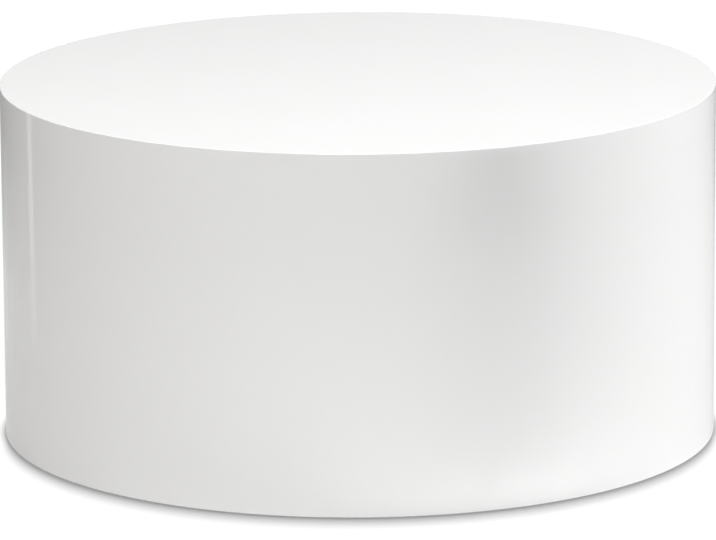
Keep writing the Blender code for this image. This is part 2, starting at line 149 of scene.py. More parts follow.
# Timber: growth rings and how far they wander, the pith beside the piece, and how strong each effect is
PINE_GRAIN = dict(spacing=0.0034, waviness=0.006, late=0.62)
TONGUE_GRAIN = dict(spacing=0.0021, waviness=0.004, late=0.75)
FACE_GRAIN = dict(Ring_Spacing=0.014, Waviness=0.05)
WALL_GRAIN = dict(Ring_Spacing=0.006, Waviness=0.02)
PITH = (0.031, 0.083)
LATE_SHARPNESS = 2.6
RING_SHADE = 0.75
FIBRE_SHADE = 0.9
BLOTCH_SHADE = 0.4
GRAIN_DEPTH = 0.00006
LATE_TINT = (1.0, 0.86, 0.72)
FACE_LATE_TINT = (0.66, 0.57, 0.47)

# Plywood edges: thickness of a light and a dark ply together, and how far from a ply's middle its glue starts
PLY_PAIR = 0.003
GLUE_START = 0.44

# Other tints
DUST_COLOUR = (0.42, 0.38, 0.33)
STRAW_TINT = (1.05, 0.97, 0.82)
SCUFF_COLOUR = (0.075, 0.072, 0.07)

# The photo's frame in pixels, and the camera's own sizes
PHOTO_WIDTH = 716
FOCAL_PIXELS = 6273
SENSOR_WIDTH = 36
CAMERA_REACH = 100

# Soft lamps, and fills that the gloss doesn't show: bearing from the camera's side to the right, elevation,
# distance, width, height, power and colour
WHITE = (1.0, 1.0, 1.0)
WARM_WHITE = (1.0, 0.983, 0.948)
LAMPS = {
    "high_front": (0, 62, 3.2, 1.6, 1.6, 46.5, WHITE),
    "high_right": (40, 62, 3.2, 1.6, 1.6, 33.5, WHITE),
    "back_fill": (180, 30, 3.6, 1.8, 1.2, 18.0, WHITE),
}
FILLS = {
    "side_front": (-16, 35, 3.4, 0.8, 0.7, 1.5, WHITE),
    "side_left": (-59, 35, 3.4, 1.2, 0.7, 15.0, WARM_WHITE),
    "side_right": (104, 35, 3.4, 0.7, 0.7, 9.4, WHITE),
    "low_left": (-60, 10, 3.6, 0.5, 0.7, 14.4, WARM_WHITE),
    "low_front": (-6, 10, 3.6, 0.56, 0.7, 4.3, WHITE),
    "low_right": (108, 10, 3.6, 0.8, 0.7, 57.0, WHITE),
    "near_right": (65, 8, 1.1, 0.3, 0.4, 0.49, WHITE),
}
LAMP_AIM = Vector((0, 0, 0.2))

# Small lamps that lie on the floor and that the gloss doesn't show: bearing, distance from the axis, width,
# depth and power
CARDS = {
    "front_card_1": (-10, 0.74, 0.4, 0.2, 0.15),
    "front_card_2": (20, 0.95, 0.5, 0.4, 0.39),
    "near_card_1": (10, 0.56, 0.3, 0.16, 0.05),
    "near_card_2": (30, 0.56, 0.3, 0.16, 0.074),
    "near_card_3": (50, 0.56, 0.3, 0.16, 0.033),
    "edge_card": (25, 0.5, 0.4, 0.06, 0.018),
}
CARD_HEIGHT = 0.003

# A small lamp that only the gloss of the top's edge shows, set as the lamps are
GLINT = (-9.5, 62, 2.8, 0.32, 0.3, 28.0, WHITE)

# A narrow upright panel at the left, which only the gloss shows: foot, width, height, lean and brightness
STRIP_FOOT = Vector((-0.892, 0.197, 0))
STRIP_WIDTH = 0.048
STRIP_HEIGHT = 0.33
STRIP_LEAN = -0.014
STRIP_LEVEL = 1.03

# A thin level net that takes a little of the lamps' light off the wall, right of the middle: bearing, height,
# inner and outer distance from the axis, width, and the share of the light that its middle holds back
NET_BEARING = 22
NET_HEIGHT = 0.456
NET_REACH = (0.459, 0.525)
NET_WIDTH = 0.22
NET_SHADE = 0.255

# The floor, and the share of its own colour that the camera and the gloss see
FLOOR_RADIUS = 16
FLOOR_STEPS = 96
FLOOR_SEEN_SHARE = 0.15

# Light that comes from all round
AMBIENT_LEVEL = 0.02

# Brightness of the floor as the drum's gloss sees it: near the drum, at the left and at the right, and far
# off, by bearing
GLOSS_NEAR = (0.69, 0.57)
GLOSS_FAR = {-150: 0.27, -100: 0.2, -50: 0.0, 43: 0.0, 70: 0.32, 100: 0.4, 150: 0.33}
GLOSS_REACH = (1.05, 2.1)
GLOSS_SIDES = (-0.6, 0.6)

# Light that the floor sends back to the wall's foot, at the left and at the right, and its width
FOOT_GLOW = (0.0, 0.35)
FOOT_GLOW_WIDTH = 0.03

# Soft shadow on the floor: its least share of the full reach, at the drum's sides, how fast it darkens with
# what hides the sky, how much, how dark it gets, and the rays that measure it
SHADOW_SIDE_SHARE = 0.17
SHADOW_CURVE = 1.28
SHADOW_DEPTH = 1.7
SHADOW_FLOOR = 0.3
SHADOW_SAMPLES = 16


# Properties


def length_setting(name, description, default, **limits):
    """A setting in metres."""
    return bpy.props.FloatProperty(
        name=name, description=description, default=default, unit="LENGTH", **limits
    )


def angle_setting(name, description, degrees):
    """A setting that is an angle."""
    turn = math.radians(degrees)
    return bpy.props.FloatProperty(name=name, description=description, default=turn, subtype="ANGLE")


def share_setting(name, description, default, **limits):
    """A setting that scales something."""
    return bpy.props.FloatProperty(
        name=name, description=description, default=default, min=0, subtype="FACTOR", **limits
    )


def count_setting(name, description, default, **limits):
    """A setting that is a whole number."""
    return bpy.props.IntProperty(name=name, description=description, default=default, **limits)


def colour_setting(name, description, *default):
    """A setting that is a colour."""
    return bpy.props.FloatVectorProperty(
        name=name, description=description, default=default, min=0, max=1, subtype="COLOR"
    )


class DrumSizes(bpy.types.PropertyGroup):
    """Fine shapes that the finish adds to the frame."""

    edge_radius: length_setting(
        "Top edge radius",
        "Rounding of the lacquered edge between the top and the wall",
        0.001,
        min=0.0005,
        max=0.006,
    )
    foot_ease: length_setting(
        "Wall foot ease", "Rounding of the wall's bottom edges", 0.0008, min=0.0004, max=0.004
    )
    stem_pitch: length_setting(
        "Stem thread pitch", "Rise of a levelling foot's thread in one turn", 0.00125, min=0.0008, max=0.002
    )
    pad_flutes: count_setting(
        "Pad flutes", "Finger grooves round the rim of each foot pad", 36, min=0, max=72
    )
    round_steps: count_setting("Round steps", "Faces round the drum", 288, min=96, max=720)


class DrumFinishes(bpy.types.PropertyGroup):
    """Colours of the finishes."""

    lacquer: colour_setting("Lacquer", "Gloss white lacquer on the top and the wall", 0.88, 0.88, 0.879)
    fibreboard: colour_setting("Fibreboard", "Raw fibreboard under the top", 0.47, 0.34, 0.21)
    birch: colour_setting(
        "Birch plywood", "Face veneer of the plywood rings and the wall's inside", 0.66, 0.50, 0.32
    )
    pine: colour_setting("Pine", "Planed pine of the posts and rails", 0.72, 0.54, 0.33)
    zinc: colour_setting("Zinc", "Bright zinc plating of the screws, nuts and stems", 0.62, 0.64, 0.66)
    nylon: colour_setting("Nylon", "Moulded nylon of the foot pads", 0.03, 0.03, 0.03)


class DrumStudio(bpy.types.PropertyGroup):
    """Camera, floor and light."""

    eye_distance: length_setting(
        "Camera distance", "Distance of the camera in front of the drum's axis", 7.858
    )
    eye_height: length_setting("Camera height", "Height of the camera above the floor", 2.0434)
    eye_pitch: angle_setting("Camera pitch", "Angle of the camera below the horizon", 13.156)
    eye_roll: angle_setting("Camera roll", "Tilt of the camera about its own line of sight", -0.364)
    eye_yaw: angle_setting("Camera yaw", "Turn of the camera to the left", 0.009)
    lamp_level: share_setting("Lamp level", "Strength of all the lamps together", 1.0)
    floor_colour: colour_setting("Floor", "Colour of the studio floor", 0.8, 0.8, 0.8)
    floor_lift: share_setting(
        "Floor lift",
        "White added to the floor where it is seen, so that it reads as a white background",
        0.96,
        max=1,
    )
    shadow_reach: length_setting(
        "Shadow reach", "Width of the soft shadow on the floor round the drum", 0.07, min=0.01, max=0.5
    )


# Node helpers


def add(tree, kind, settings=None, **sockets):
    """A new node with some settings and some socket values."""
    made = tree.nodes.new(kind)
    for name, value in (settings or {}).items():
        setattr(made, name, value)
    for name, value in sockets.items():
        feed(tree, value, made.inputs[name.replace("_", " ")])
    return made


def feed(tree, value, socket):
    """Sets a socket to a value, or joins another socket to it."""
    if isinstance(value, bpy.types.NodeSocket):
        tree.links.new(value, socket)
    else:
        socket.default_value = value


def calc(tree, operation, *values, clamp=False):
    """A calculation with numbers and sockets."""
    made = add(tree, "ShaderNodeMath", {"operation": operation, "use_clamp": clamp})
    for socket, value in zip(made.inputs, values):
        feed(tree, value, socket)
    return made.outputs[0]


def remap(tree, value, before, after=(0.0, 1.0)):
    """A value carried from one range to another, and kept inside it."""
    made = add(
        tree,
        "ShaderNodeMapRange",
        Value=value,
        From_Min=before[0],
        From_Max=before[1],
        To_Min=after[0],
        To_Max=after[1],
    )
    return made.outputs["Result"]


def swing(tree, value, share):
    """A value that varies about one half, as a change about zero."""
    return calc(tree, "MULTIPLY", calc(tree, "SUBTRACT", value, 0.5), share)


def noise(tree, place, scale, detail=2.0, roughness=0.5):
    """Cloudy noise about one half."""
    made = add(tree, "ShaderNodeTexNoise", Vector=place, Scale=scale, Detail=detail, Roughness=roughness)
    return made.outputs["Fac"]


def mix(tree, factor, first, second):
    """A colour between two colours."""
    made = add(tree, "ShaderNodeMix", {"data_type": "RGBA"})
    # The node has sockets for every kind of value, and these are the ones for colours
    for socket, value in zip((made.inputs[0], made.inputs[6], made.inputs[7]), (factor, first, second)):
        feed(tree, value, socket)
    return made.outputs[2]


def stretched(tree, place, by):
    """A place with each axis scaled."""
    made = add(tree, "ShaderNodeVectorMath", {"operation": "MULTIPLY"})
    feed(tree, place, made.inputs[0])
    made.inputs[1].default_value = by
    return made.outputs[0]


def object_place(tree):
    """The place on the object."""
    return add(tree, "ShaderNodeTexCoord").outputs["Object"]


def axes(tree, place):
    """The three parts of a place."""
    return add(tree, "ShaderNodeSeparateXYZ", Vector=place).outputs


def coat(tree, shader, colour, roughness, height):
    """Joins a colour, a roughness and a height in metres, as bump, to a shader."""
    bump = add(tree, "ShaderNodeBump", Strength=1.0, Distance=1.0, Height=height)
    feed(tree, colour, shader.inputs["Base Color"])
    feed(tree, roughness, shader.inputs["Roughness"])
    feed(tree, bump.outputs["Normal"], shader.inputs["Normal"])


def opaque(colour, scale=1.0):
    """A colour made lighter or darker, with its alpha."""
    return (*(part * scale for part in colour), 1.0)


def tinted(colour, tint, scale=1.0):
    """A colour with each of its parts scaled, with its alpha."""
    return opaque((part * share for part, share in zip(colour, tint)), scale)


def new_material(name):
    """A new material, with its tree and its Principled shader."""
    made = bpy.data.materials.new(name)
    made.use_nodes = True
    return made, made.node_tree, made.node_tree.nodes["Principled BSDF"]


def bare_material(name):
    """A new material with no shader yet, with its tree and the socket for its surface."""
    made, tree, shader = new_material(name)
    made.cycles.emission_sampling = "NONE"
    tree.nodes.remove(shader)
    return made, tree, tree.nodes["Material Output"].inputs["Surface"]


def new_group(name, inputs, outputs):
    """A shader node group: inputs by name to kind and default, outputs by name to kind."""
    tree = bpy.data.node_groups.new(name, "ShaderNodeTree")
    for label, (kind, value) in inputs.items():
        socket = tree.interface.new_socket(label, in_out="INPUT", socket_type=kind)
        if value is not None:
            socket.default_value = value
    for label, kind in outputs.items():
        tree.interface.new_socket(label, in_out="OUTPUT", socket_type=kind)
    return tree, tree.nodes.new("NodeGroupInput").outputs, tree.nodes.new("NodeGroupOutput").inputs


def group(tree, build, **sockets):
    """Places a shared node group, which is built on its first use."""
    made = tree.nodes.new("ShaderNodeGroup")
    made.node_tree = bpy.data.node_groups.get(build.__name__) or build()
    for name, value in sockets.items():
        feed(tree, value, made.inputs[name.replace("_", " ")])
    return made.outputs


# Effects that finishes share


def timber_grain():
    """Growth rings and fibres. Z runs along the grain, and the pith lies beside the piece."""
    tree, given, result = new_group(
        "timber_grain",
        {
            "Place": ("NodeSocketVector", None),
            "Ring Spacing": ("NodeSocketFloat", 0.003),
            "Waviness": ("NodeSocketFloat", 0.004),
            "Early Wood": ("NodeSocketColor", None),
            "Late Wood": ("NodeSocketColor", None),
        },
        {"Colour": "NodeSocketColor", "Roughness": "NodeSocketFloat", "Height": "NodeSocketFloat"},
    )
    place = given["Place"]
    drift = noise(tree, stretched(tree, place, by=(1, 1, 0.06)), scale=11.0, detail=3.0)
    beside = [calc(tree, "ADD", part, offset) for part, offset in zip(axes(tree, place), PITH)]
    squares = [calc(tree, "MULTIPLY", part, part) for part in beside]
    from_pith = calc(tree, "SQRT", calc(tree, "ADD", *squares))
    bent = calc(tree, "ADD", swing(tree, drift, given["Waviness"]), from_pith)
    season = calc(tree, "FRACT", calc(tree, "DIVIDE", bent, given["Ring Spacing"]))
    late = calc(tree, "POWER", season, LATE_SHARPNESS)
    fibre = noise(tree, stretched(tree, place, by=(1, 1, 0.018)), scale=900.0)
    blotch = noise(tree, stretched(tree, place, by=(1, 1, 0.3)), scale=14.0)
    fine = calc(tree, "ADD", calc(tree, "MULTIPLY", late, RING_SHADE), swing(tree, fibre, FIBRE_SHADE))
    shade = calc(tree, "ADD", fine, swing(tree, blotch, BLOTCH_SHADE), clamp=True)
    feed(tree, mix(tree, shade, given["Early Wood"], given["Late Wood"]), result["Colour"])
    feed(tree, remap(tree, shade, (0.0, 1.0), (0.68, 0.5)), result["Roughness"])
    relief = calc(tree, "SUBTRACT", fibre, calc(tree, "MULTIPLY", late, 0.5))
    feed(tree, calc(tree, "MULTIPLY", relief, GRAIN_DEPTH), result["Height"])
    return tree


def settled_dust():
    """A mask of the fine dust that lies on what faces up."""
    tree, given, result = new_group(
        "settled_dust", {"Amount": ("NodeSocketFloat", 0.3)}, {"Mask": "NodeSocketFloat"}
    )
    facing = axes(tree, add(tree, "ShaderNodeNewGeometry").outputs["Normal"])[2]
    lying = remap(tree, facing, (0.2, 0.95), (0.15, 1.0))
    cloud = noise(tree, object_place(tree), scale=38.0, detail=5.0, roughness=0.65)
    patchy = remap(tree, cloud, (0.35, 0.7), (0.1, 1.0))
    feed(tree, calc(tree, "MULTIPLY", calc(tree, "MULTIPLY", lying, patchy), given["Amount"]), result["Mask"])
    return tree


def fine_speckle():
    """Fine grain of a given size: a value that varies evenly about one half, and the same as a height."""
    tree, given, result = new_group(
        "fine_speckle",
        {"Size": ("NodeSocketFloat", 0.001), "Depth": ("NodeSocketFloat", 0.00002)},
        {"Value": "NodeSocketFloat", "Height": "NodeSocketFloat"},
    )
    fine = noise(tree, object_place(tree), scale=calc(tree, "DIVIDE", 1.0, given["Size"]), roughness=0.6)
    feed(tree, fine, result["Value"])
    feed(tree, calc(tree, "MULTIPLY", fine, given["Depth"]), result["Height"])
    return tree


def dusted(tree, colour, amount):
    """A colour with dust on what faces up."""
    return mix(tree, group(tree, settled_dust, Amount=amount)["Mask"], colour, opaque(DUST_COLOUR))


# Finishes


def white_gloss_lacquer(colours):
    """Polished lacquer: long faint waves and orange peel, with a haze in its gloss and its white."""
    made, tree, shader = new_material("white_gloss_lacquer")
    place = object_place(tree)
    haze = noise(tree, place, scale=9.0, detail=5.0, roughness=0.62)
    share = remap(tree, haze, (0.3, 0.7))
    colour = mix(tree, share, tinted(colours.lacquer, LACQUER_WARMTH), opaque(colours.lacquer))
    roughness = remap(tree, haze, (0.3, 0.7), (0.05, 0.085))
    peel = group(tree, fine_speckle, **PEEL)["Height"]
    wave = noise(tree, place, scale=5.0, detail=0.0)
    coat(tree, shader, colour, roughness, calc(tree, "MULTIPLY_ADD", wave, WAVE_DEPTH, peel))
    return made


def raw_fibreboard(colours):
    """Sawn and sanded fibreboard: fine pressed fibres in lighter and darker browns."""
    made, tree, shader = new_material("raw_fibreboard")
    fine = group(tree, fine_speckle, Size=0.0007, Depth=0.00006)
    clump = noise(tree, object_place(tree), scale=160.0, detail=4.0, roughness=0.7)
    shade = calc(tree, "MULTIPLY_ADD", fine["Value"], 0.7, calc(tree, "MULTIPLY", clump, 0.5))
    share = remap(tree, shade, (0.4, 0.8))
    colour = mix(tree, share, opaque(colours.fibreboard, scale=0.72), opaque(colours.fibreboard, scale=1.2))
    roughness = remap(tree, shade, (0.4, 0.8), (0.78, 0.92))
    coat(tree, shader, dusted(tree, colour, amount=0.3), roughness, fine["Height"])
    return made


def grain_place(tree, along):
    """A place turned so that its Z runs along the named axis."""
    x, y, z = axes(tree, object_place(tree))
    order = {"X": (y, z, x), "Y": (z, x, y), "Z": (x, y, z)}[along]
    made = add(tree, "ShaderNodeCombineXYZ")
    for socket, part in zip(made.inputs, order):
        feed(tree, part, socket)
    return made.outputs[0]


def timber(name, along, colour, spacing, waviness, late):
    """Planed timber with its grain along one axis."""
    made, tree, shader = new_material(name)
    grain = group(
        tree,
        timber_grain,
        Place=grain_place(tree, along),
        Ring_Spacing=spacing,
        Waviness=waviness,
        Early_Wood=opaque(colour, scale=1.06),
        Late_Wood=tinted(colour, LATE_TINT, late),
    )
    coat(tree, shader, dusted(tree, grain["Colour"], amount=0.35), grain["Roughness"], grain["Height"])
    return made


def birch_plywood(colours):
    """Plywood: a figured face, and on its edges light and dark plies by turns, with dark glue lines."""
    made, tree, shader = new_material("birch_plywood")
    face = group(
        tree,
        timber_grain,
        Place=grain_place(tree, "X"),
        Early_Wood=opaque(colours.birch, scale=1.05),
        Late_Wood=tinted(colours.birch, FACE_LATE_TINT),
        **FACE_GRAIN,
    )
    place = object_place(tree)
    pair = calc(tree, "FRACT", calc(tree, "DIVIDE", axes(tree, place)[2], PLY_PAIR))
    end_grain = calc(tree, "GREATER_THAN", pair, 0.5)
    in_ply = calc(tree, "FRACT", calc(tree, "MULTIPLY", pair, 2))
    from_middle = calc(tree, "ABSOLUTE", calc(tree, "SUBTRACT", in_ply, 0.5))
    glue = calc(tree, "GREATER_THAN", from_middle, GLUE_START)
    pores = remap(tree, noise(tree, place, scale=1500.0, roughness=0.6), (0.45, 0.7))
    plies = mix(tree, end_grain, opaque(colours.birch), opaque(colours.birch, scale=0.66))
    plies = mix(tree, calc(tree, "MULTIPLY", pores, 0.4), plies, opaque(colours.birch, scale=0.3))
    plies = mix(tree, calc(tree, "MULTIPLY", glue, 0.7), plies, opaque(colours.birch, scale=0.22))
    facing = axes(tree, add(tree, "ShaderNodeNewGeometry").outputs["Normal"])[2]
    flat = calc(tree, "GREATER_THAN", calc(tree, "ABSOLUTE", facing), 0.6)
    colour = dusted(tree, mix(tree, flat, plies, face["Colour"]), amount=0.4)
    coat(tree, shader, colour, face["Roughness"], face["Height"])
    return made


def bent_plywood(colours):
    """The wall's raw inside: upright veneer, with white overspray round its foot."""
    made, tree, shader = new_material("bent_plywood")
    grain = group(
        tree,
        timber_grain,
        Place=grain_place(tree, "Z"),
        Early_Wood=opaque(colours.birch),
        Late_Wood=opaque(colours.birch, scale=0.66),
        **WALL_GRAIN,
    )
    place = object_place(tree)
    cloud = noise(tree, place, scale=60.0, detail=4.0, roughness=0.6)
    ragged = calc(tree, "MULTIPLY_ADD", cloud, 0.02, axes(tree, place)[2])
    spray = remap(tree, ragged, (0.014, 0.04), (0.95, 0.0))
    colour = mix(tree, spray, grain["Colour"], opaque(colours.lacquer))
    coat(tree, shader, colour, grain["Roughness"], grain["Height"])
    return made


def zinc_plate(colours):
    """Bright zinc plating: cloudy gloss, with a faint straw tint in places."""
    made, tree, shader = new_material("zinc_plate")
    cloud = noise(tree, object_place(tree), scale=210.0, detail=4.0, roughness=0.6)
    share = remap(tree, cloud, (0.42, 0.68), (0.0, 0.8))
    colour = mix(tree, share, opaque(colours.zinc), tinted(colours.zinc, STRAW_TINT))
    fine = group(tree, fine_speckle, Size=0.0004, Depth=0.000006)
    dull = calc(tree, "MULTIPLY_ADD", cloud, 0.25, calc(tree, "MULTIPLY", fine["Value"], 0.15))
    roughness = remap(tree, dull, (0.12, 0.28), (0.2, 0.42))
    coat(tree, shader, dusted(tree, colour, amount=0.25), roughness, fine["Height"])
    shader.inputs["Metallic"].default_value = 1.0
    return made


def black_nylon(colours):
    """Moulded nylon: a fine spark-eroded texture, a little paler where it scuffs the floor."""
    made, tree, shader = new_material("black_nylon")
    fine = group(tree, fine_speckle, Size=0.0005, Depth=0.00003)
    cloud = noise(tree, object_place(tree), scale=420.0, detail=4.0, roughness=0.7)
    scuff = remap(tree, cloud, (0.5, 0.75), (0.0, 0.5))
    colour = mix(tree, scuff, opaque(colours.nylon), opaque(SCUFF_COLOUR))
    roughness = remap(tree, fine["Value"], (0.3, 0.7), (0.4, 0.58))
    coat(tree, shader, dusted(tree, colour, amount=0.2), roughness, fine["Height"])
    return made


def finish(build):
    """A finish, made on its first use."""
    return bpy.data.materials.get(build.__name__) or build(bpy.context.scene.drum_finishes)


# Shapes


def revolved(rings, steps, looped=False):
    """A closed solid from rings of height and radius, where a radius may also be a function of the angle."""
    shape = bmesh.new()
    angles = [2 * math.pi * i / steps for i in range(steps)]
    rows = []
    for height, radius in rings:
        if radius == 0:
            rows.append([shape.verts.new((0, 0, height))])
            continue
        radii = [radius(a) if callable(radius) else radius for a in angles]
        ring = [(r * math.cos(a), r * math.sin(a), height) for a, r in zip(angles, radii)]
        rows.append([shape.verts.new(at) for at in ring])
    pairs = list(zip(rows, rows[1:])) + ([(rows[-1], rows[0])] if looped else [])
    for lower, upper in pairs:
        for i in range(steps):
            j = (i + 1) % steps
            corners = (
                lower[i % len(lower)],
                lower[j % len(lower)],
                upper[j % len(upper)],
                upper[i % len(upper)],
            )
            shape.faces.new(list(dict.fromkeys(corners)))
    bmesh.ops.recalc_face_normals(shape, faces=shape.faces)
    return shape


def arc(radius, height, bend, start, end, steps):
    """Rings round a bend whose middle is at that radius and height. Angles are from outwards to upwards."""
    angles = [math.radians(start + (end - start) * i / steps) for i in range(steps + 1)]
    return [(height + bend * math.sin(a), radius + bend * math.cos(a)) for a in angles]


def mesh_of(name, shape, finishes):
    """A mesh of a shape, smooth but for its sharp edges, with its finishes."""
    mesh = bpy.data.meshes.new(name)
    shape.to_mesh(mesh)
    shape.free()
    mesh.shade_smooth()
    mesh.set_sharp_from_angle(angle=SMOOTH_ANGLE)
    for made in finishes:
        mesh.materials.append(made)
    return mesh


def new_object(name, data):
    """A new object in the scene."""
    made = bpy.data.objects.new(name, data)
    bpy.context.scene.collection.objects.link(made)
    return made


def piece(name, mesh, body, replaced, matrix=Matrix.Identity(4)):
    """A finished piece that rides on a body and stands for the frame's own nodes."""
    made = new_object(name, mesh)
    made.matrix_world = matrix
    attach(made, body)
    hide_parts(*replaced)
    return made


def dress(nodes, made):
    """Gives a finish to nodes whose own shape is kept."""
    for name in nodes:
        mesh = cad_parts[name].data
        mesh.materials.clear()
        mesh.materials.append(made)


def middle(node):
    """The upright axis of a node, as x and y."""
    low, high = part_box(node)
    return (low.x + high.x) / 2, (low.y + high.y) / 2


# Drum


class DRUM_OT_lacquered_top(bpy.types.Operator):
    """Make the round top panel: lacquered above and round its edge, raw underneath"""

    bl_idname = "drum.lacquered_top"
    bl_label = "Lacquered Top"

    def execute(self, context):
        sizes = context.scene.drum_sizes
        ease = sizes.edge_radius
        rings = [
            (TABLE_HEIGHT, 0),
            *((TABLE_HEIGHT, DRUM_RADIUS * share) for share in TOP_RINGS),
            (TABLE_HEIGHT, DRUM_RADIUS - ease - FLAT_MARGIN),
            *arc(DRUM_RADIUS - ease, TABLE_HEIGHT - ease, ease, 90, 0, EDGE_STEPS),
            (TABLE_HEIGHT - ease - FLAT_MARGIN, DRUM_RADIUS),
            (WALL_TOP, DRUM_RADIUS),
            (WALL_TOP, BORE_RADIUS),
            (PANEL_BOTTOM, BORE_RADIUS),
            (PANEL_BOTTOM, 0),
        ]
        shape = revolved(rings, sizes.round_steps)
        for face in shape.faces:
            at = face.calc_center_median()
            face.material_index = int(at.z < WALL_TOP + HAIR)
        mesh = mesh_of("lacquered_top", shape, [finish(white_gloss_lacquer), finish(raw_fibreboard)])
        piece("lacquered_top", mesh, CARCASS, ["top_panel"])
        return {"FINISHED"}


class DRUM_OT_lacquered_wall(bpy.types.Operator):
    """Make the drum's wall: lacquered outside with its joints sprayed over, raw plywood inside"""

    bl_idname = "drum.lacquered_wall"
    bl_label = "Lacquered Wall"

    def execute(self, context):
        sizes = context.scene.drum_sizes
        ease = sizes.foot_ease
        bend = WALL_BOTTOM + ease
        rings = [
            *((WALL_TOP + (bend - WALL_TOP) * i / WALL_ROWS, DRUM_RADIUS) for i in range(WALL_ROWS)),
            (bend + FLAT_MARGIN, DRUM_RADIUS),
            *arc(DRUM_RADIUS - ease, bend, ease, 0, -90, FOOT_STEPS),
            *arc(BORE_RADIUS + ease, bend, ease, -90, -180, FOOT_STEPS),
            (bend + FLAT_MARGIN, BORE_RADIUS),
            (WALL_TOP, BORE_RADIUS),
        ]
        shape = revolved(rings, sizes.round_steps, looped=True)
        for face in shape.faces:
            at = face.calc_center_median()
            inside = math.hypot(at.x, at.y) < BORE_RADIUS + ease / 4 and at.z > bend
            face.material_index = int(inside)
        mesh = mesh_of("lacquered_wall", shape, [finish(white_gloss_lacquer), finish(bent_plywood)])
        shells = ["wall_shell_front", "wall_shell_back"]
        piece("lacquered_wall", mesh, CARCASS, shells)
        return {"FINISHED"}


# Frame inside the drum


class DRUM_OT_plywood_rings(bpy.types.Operator):
    """Finish the plywood rings and the wall's joint tongues"""

    bl_idname = "drum.plywood_rings"
    bl_label = "Plywood Rings"

    def execute(self, context):
        dress(RINGS, finish(birch_plywood))
        birch = context.scene.drum_finishes.birch
        dress(SPLINES, timber("birch_tongue", "Z", birch, **TONGUE_GRAIN))
        return {"FINISHED"}


class DRUM_OT_pine_frame(bpy.types.Operator):
    """Finish the pine posts and rails"""

    bl_idname = "drum.pine_frame"
    bl_label = "Pine Frame"

    def execute(self, context):
        pine = context.scene.drum_finishes.pine
        dress(POSTS, timber("pine_upright", "Z", pine, **PINE_GRAIN))
        dress(["rail_across"], timber("pine_across", "X", pine, **PINE_GRAIN))
        dress(["rail_along"], timber("pine_along", "Y", pine, **PINE_GRAIN))
        return {"FINISHED"}


def cross_outline(half_width, reach):
    """The corners of a cross, in order."""
    quarter = [(reach, -half_width), (reach, half_width), (half_width, half_width)]
    turns = [Matrix.Rotation(math.pi / 2 * i, 2) for i in range(4)]
    return [turn @ Vector(corner) for turn in turns for corner in quarter]


def cut_recess(shape, rim, head):
    """Closes the open top of a screw's head with a flat face and a cross recess."""
    half_width, reach = (head * share for share in RECESS_MOUTH)
    outline = cross_outline(half_width, reach)
    floor = cross_outline(*(head * share for share in RECESS_FLOOR))
    flat = [vert.co.xy for vert in rim] + outline
    first = len(rim)
    edges = [(i, (i + 1) % first) for i in range(first)]
    edges += [(first + i, first + (i + 1) % len(outline)) for i in range(len(outline))]
    corners, _, faces, sources, _, _ = delaunay_2d_cdt(flat, edges, [], 0, WELD)
    lip = [shape.verts.new((at.x, at.y, 0)) for at in outline]
    known = list(rim) + lip
    verts = [known[source[0]] for source in sources]
    for face in faces:
        at = sum((corners[i] for i in face), Vector((0, 0))) / len(face)
        low, high = sorted((abs(at.x), abs(at.y)))
        if low > half_width or high > reach:
            shape.faces.new([verts[i] for i in face])
    deep = [shape.verts.new((at.x, at.y, -head * RECESS_DEPTH)) for at in floor]
    for i in range(len(lip)):
        j = (i + 1) % len(lip)
        shape.faces.new((lip[i], lip[j], deep[j], deep[i]))
    shape.faces.new(deep)


def thread_turn(height, angle, pitch):
    """How far a place is from one turn of a thread to the next, from 0 to 1."""
    return (height / pitch - angle / (2 * math.pi)) % 1


def screw_shape(length, shank, head, pitch, thread):
    """A countersunk wood screw with its head's face at zero and its point below."""
    root = shank * SCREW_ROOT_SHARE
    start = -length * (1 - thread)

    def worm(height):
        taper = min(1.0, (height + length) / SCREW_TIP)

        def radius(angle):
            turn = thread_turn(height, angle, pitch)
            crest = max(0.0, 1 - min(turn, 1 - turn) / SCREW_CREST_SHARE)
            return taper * (root + (shank - root) * crest)

        return radius

    rows = int((start + length) / pitch * THREAD_ROWS)
    heights = [start - (start + length) * i / rows for i in range(1, rows)]
    rings = [(0, head), (-SCREW_RIM, head), (-SCREW_RIM - (head - shank), shank), (start, shank)]
    rings += [(height, worm(height)) for height in heights]
    rings.append((-length, 0))
    shape = revolved(rings, SCREW_STEPS)
    shape.verts.ensure_lookup_table()
    cut_recess(shape, shape.verts[:SCREW_STEPS], head)
    bmesh.ops.recalc_face_normals(shape, faces=shape.faces)
    return shape


class DRUM_OT_frame_screws(bpy.types.Operator):
    """Make the countersunk screws of the frame"""

    bl_idname = "drum.frame_screws"
    bl_label = "Frame Screws"

    def execute(self, context):
        for kind, (sizes, head_down) in SCREWS.items():
            low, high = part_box(f"{kind}_1")
            mesh = mesh_of(kind, screw_shape(high.z - low.z, **sizes), [finish(zinc_plate)])
            for number in range(1, SCREW_COUNT + 1):
                node = f"{kind}_{number}"
                x, y = middle(node)
                matrix = Matrix.Translation((x, y, low.z if head_down else high.z))
                matrix @= Matrix.Rotation(SCREW_TURN * number, 4, "Z")
                if head_down:
                    matrix @= Matrix.Rotation(math.pi, 4, "X")
                piece(f"{node}_turned", mesh, CARCASS, [node], matrix)
        return {"FINISHED"}


# Levelling feet


class DRUM_OT_tee_nuts(bpy.types.Operator):
    """Finish the pronged nuts in the base ring"""

    bl_idname = "drum.tee_nuts"
    bl_label = "Pronged Nuts"

    def execute(self, context):
        dress([f"tee_nut_{i}" for i in FEET], finish(zinc_plate))
        return {"FINISHED"}


